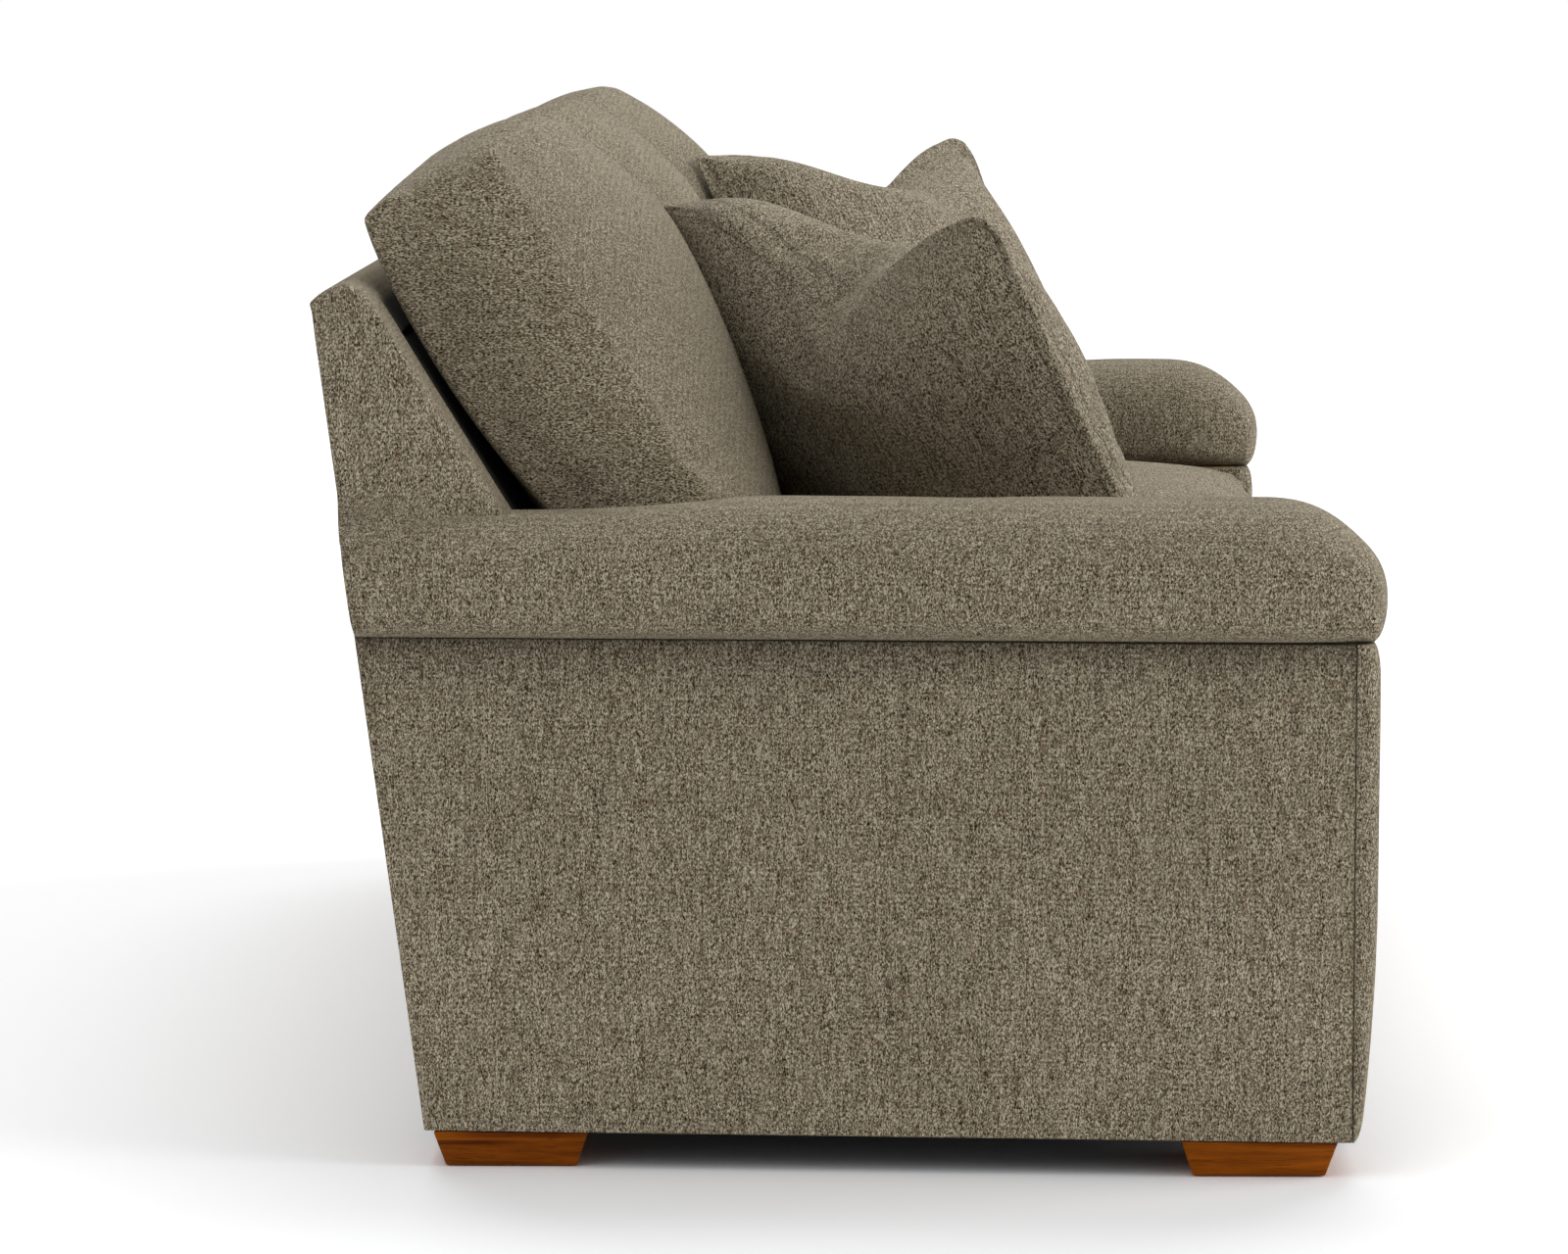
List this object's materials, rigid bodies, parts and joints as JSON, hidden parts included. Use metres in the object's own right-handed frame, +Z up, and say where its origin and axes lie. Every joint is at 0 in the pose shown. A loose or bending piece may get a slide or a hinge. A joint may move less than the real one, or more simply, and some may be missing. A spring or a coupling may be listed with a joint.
{
  "type": "roll arm sofa",
  "caption": "Upholstered sofa with padded roll arms, a raked back, loose seat and back cushions, throw pillows and low tapered wood block feet.",
  "frame": {"origin": "on the floor under the middle of the sofa's box", "axes": "+X along the seat, front faces -Y, +Z up"},
  "size_m": [2.2742, 0.998, 0.979],
  "materials": {
    "upholstery": "heathered chenille weave in taupe with dark brown and pale flecks",
    "foot_wood": "reddish-brown stained hardwood, satin",
    "hardwood": "raw sawn hardwood",
    "steel": "plain drawn wire and bolts",
    "felt": "needled felt",
    "liner": "thin black non-woven cloth",
    "glide": "moulded nylon"
  },
  "bodies": {
    "root": {"foot_front_right": "foot_wood", "foot_front_left": "foot_wood", "foot_rear_right": "foot_wood", "foot_rear_left": "foot_wood", "foot_glide_front_right": "glide", "foot_glide_front_left": "glide", "foot_glide_rear_right": "glide", "foot_glide_rear_left": "glide", "foot_bolt_front_right": "steel", "foot_bolt_front_left": "steel", "foot_bolt_rear_right": "steel", "foot_bolt_rear_left": "steel", "corner_block_front_right": "hardwood", "corner_block_front_left": "hardwood", "corner_block_rear_right": "hardwood", "corner_block_rear_left": "hardwood", "side_rail_right": "hardwood", "side_rail_left": "hardwood", "arm_front_post_right": "hardwood", "arm_front_post_left": "hardwood", "arm_rear_post_right": "hardwood", "arm_rear_post_left": "hardwood", "arm_top_board_right": "hardwood", "arm_top_board_left": "hardwood", "back_post_outer_right": "hardwood", "back_post_outer_left": "hardwood", "back_post_inner_right": "hardwood", "back_post_inner_left": "hardwood", "outer_arm_panel_right": "upholstery", "outer_arm_panel_left": "upholstery", "inner_arm_panel_right": "upholstery", "inner_arm_panel_left": "upholstery", "arm_front_panel_right": "upholstery", "arm_front_panel_left": "upholstery", "arm_roll_right": "upholstery", "arm_roll_left": "upholstery", "back_wing_right": "upholstery", "back_wing_left": "upholstery", "throw_pillow_right": "upholstery", "throw_pillow_left": "upholstery", "dust_cover": "liner", "front_rail": "hardwood", "rear_rail": "hardwood", "centre_rail": "hardwood", "rear_seat_rail": "hardwood", "lower_back_rail": "hardwood", "back_top_rail": "hardwood", "seat_spring_unit": "steel", "back_spring_unit": "steel", "seat_deck": "felt", "front_border": "upholstery", "inside_back_pad": "upholstery", "back_top_pad": "upholstery", "outside_back_panel": "upholstery", "seat_cushion_1": "upholstery", "back_cushion_1": "upholstery", "seat_cushion_2": "upholstery", "back_cushion_2": "upholstery", "seat_cushion_3": "upholstery", "back_cushion_3": "upholstery"}
  },
  "joints": []
}
